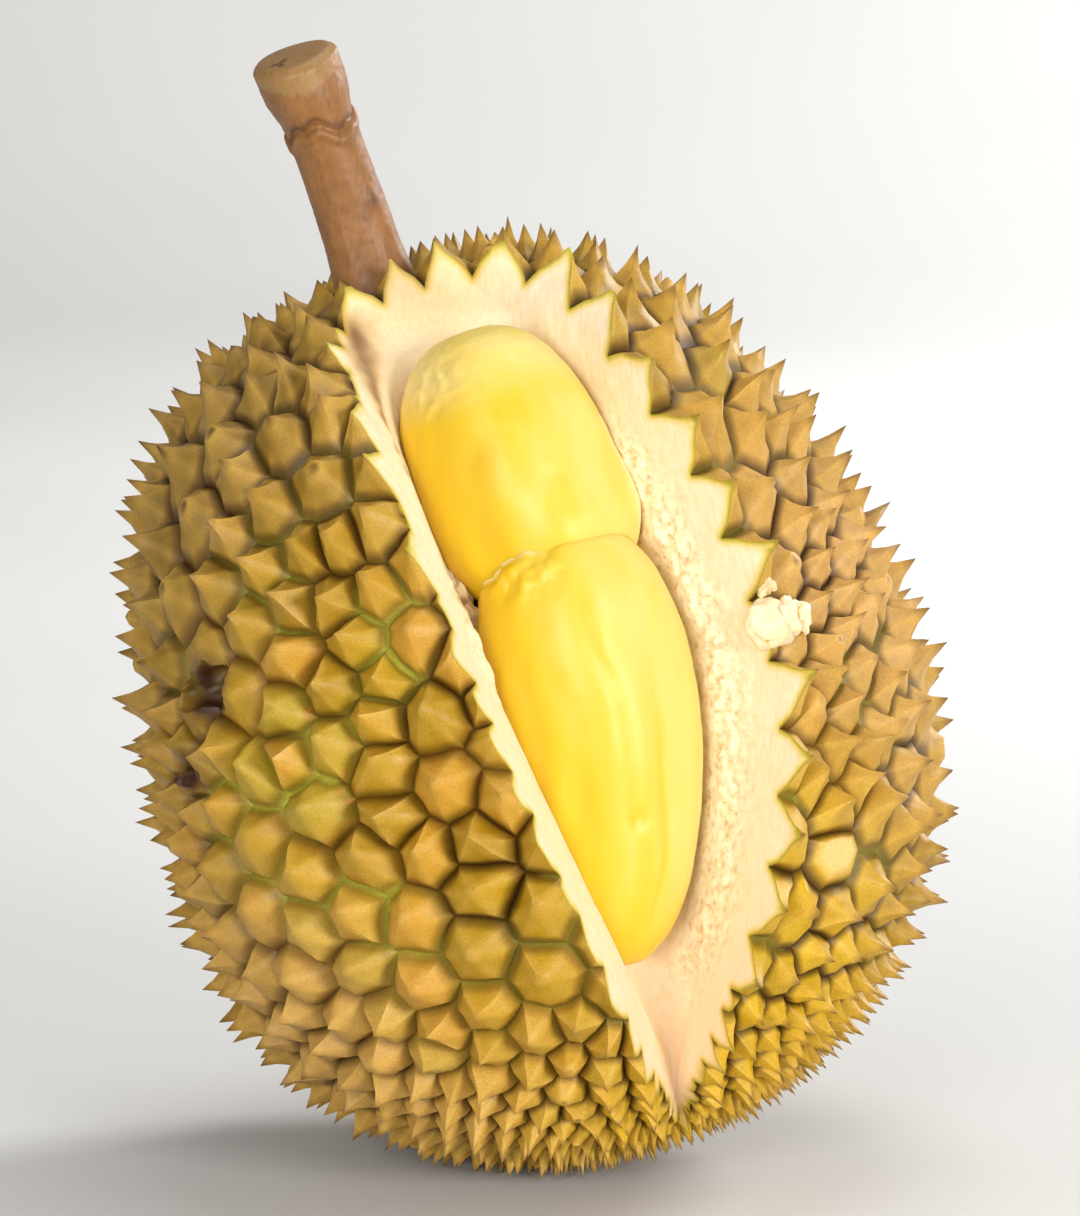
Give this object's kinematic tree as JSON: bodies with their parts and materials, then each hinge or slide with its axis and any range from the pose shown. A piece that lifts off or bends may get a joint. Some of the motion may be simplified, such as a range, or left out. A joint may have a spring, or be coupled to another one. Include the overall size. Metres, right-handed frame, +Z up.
{
  "type": "durian",
  "caption": "Spiny oval fruit that stands on its blossom end and leans, with a lens-shaped opening cut in its thick husk, soft pods of flesh bedded behind it, and a woody stalk on top.",
  "frame": {"origin": "middle of the whole part's footprint box, on the surface that the fruit stands on", "axes": "+Z up, -Y out of the opened side, and the stalk leans towards -X"},
  "size_m": [0.216, 0.2096, 0.2836],
  "materials": {
    "husk": "matt, tan to olive green",
    "stalk": "smooth bark, faint sheen",
    "flesh": "moist satin, yellow"
  },
  "bodies": {
    "root": {"husk": "husk", "stalk": "stalk", "flesh_upper": "flesh", "flesh_lower": "flesh"}
  },
  "joints": []
}
